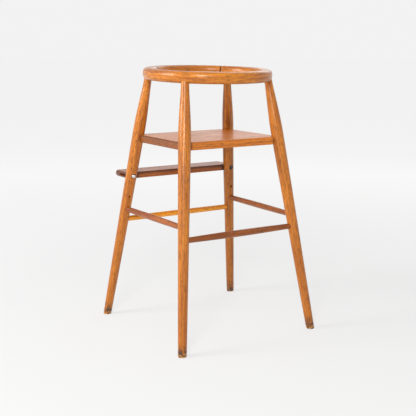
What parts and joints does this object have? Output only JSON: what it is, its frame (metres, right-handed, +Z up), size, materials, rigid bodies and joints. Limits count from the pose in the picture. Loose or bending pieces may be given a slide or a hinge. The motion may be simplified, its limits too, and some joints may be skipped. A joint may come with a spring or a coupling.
{
  "type": "baby high chair",
  "caption": "Wooden high chair with splayed turned legs, a round hoop with a hinged front gate, a square seat and a bolted footrest.",
  "frame": {"origin": "on the floor, at the middle of the footprint", "axes": "+Z up, -Y the way the child faces, +X the child's left"},
  "size_m": [0.49, 0.4732, 0.7711],
  "materials": {
    "oak_legs": "clear oil, open pores",
    "oak_hoop": "clear lacquer, rubbed",
    "oak_seat": "worn oil finish",
    "oak_footrest": "clear oil, open pores",
    "oak_stretcher_pale": "clear oil, open pores",
    "oak_stretcher_dark": "clear oil, open pores",
    "beech_dowels": "bare wood",
    "brass": "tarnished",
    "spring_steel": "bright wire",
    "zinc_bolt": "zinc plated",
    "dark_steel": "dark oxide"
  },
  "bodies": {
    "frame": {"leg_front_left": "oak_legs", "leg_front_right": "oak_legs", "leg_rear_left": "oak_legs", "leg_rear_right": "oak_legs", "hoop_left": "oak_hoop", "hoop_back": "oak_hoop", "hoop_right": "oak_hoop", "seat": "oak_seat", "stretcher_front": "oak_stretcher_pale", "stretcher_left": "oak_stretcher_dark", "stretcher_right": "oak_stretcher_dark", "stretcher_back": "oak_stretcher_dark", "seat_dowel_front_left": "beech_dowels", "seat_dowel_front_right": "beech_dowels", "seat_dowel_rear_left": "beech_dowels", "seat_dowel_rear_right": "beech_dowels", "hoop_dowel_left_back": "beech_dowels", "hoop_dowel_right_back": "beech_dowels", "hinge_leaf_hoop": "brass", "hinge_pin": "brass", "hinge_screw_hoop_upper": "brass", "hinge_screw_hoop_lower": "brass", "catch_strike": "brass"},
    "gate": {"gate": "oak_hoop", "hinge_leaf_gate": "brass", "hinge_screw_gate_upper": "brass", "hinge_screw_gate_lower": "brass", "catch_barrel": "brass", "catch_spring": "spring_steel"},
    "plunger": {"catch_plunger": "brass"},
    "footrest": {"footrest_board": "oak_footrest", "footrest_nut_left": "dark_steel", "footrest_nut_right": "dark_steel"},
    "bolt_left": {"footrest_bolt_left": "zinc_bolt", "footrest_washer_left": "dark_steel"},
    "bolt_right": {"footrest_bolt_right": "dark_steel", "footrest_washer_right": "dark_steel"}
  },
  "joints": [
    {"name": "gate_hinge", "type": "hinge", "parent": "frame", "child": "gate", "pos_m": [0.1199, -0.14535, 0.75347], "axis": [0, 0.0376, 0.9993], "range_deg": [0, 135]},
    {"name": "catch_slide", "type": "slide", "parent": "gate", "child": "plunger", "axis": [0.6756, -0.7368, 0.0277], "range_m": [0, 0.0022], "stiffness_N_per_m": 600, "springref_m": -0.002, "deforming": ["catch_spring"]},
    {"name": "footrest_slide", "type": "slide", "parent": "frame", "child": "footrest", "axis": [0, -1, 0], "range_m": [0, 0.06]},
    {"name": "bolt_left_slide", "type": "slide", "parent": "frame", "child": "bolt_left", "axis": [0, 1, 0], "range_m": [0, 0.07]},
    {"name": "bolt_right_slide", "type": "slide", "parent": "frame", "child": "bolt_right", "axis": [0, 1, 0], "range_m": [0, 0.07]}
  ]
}
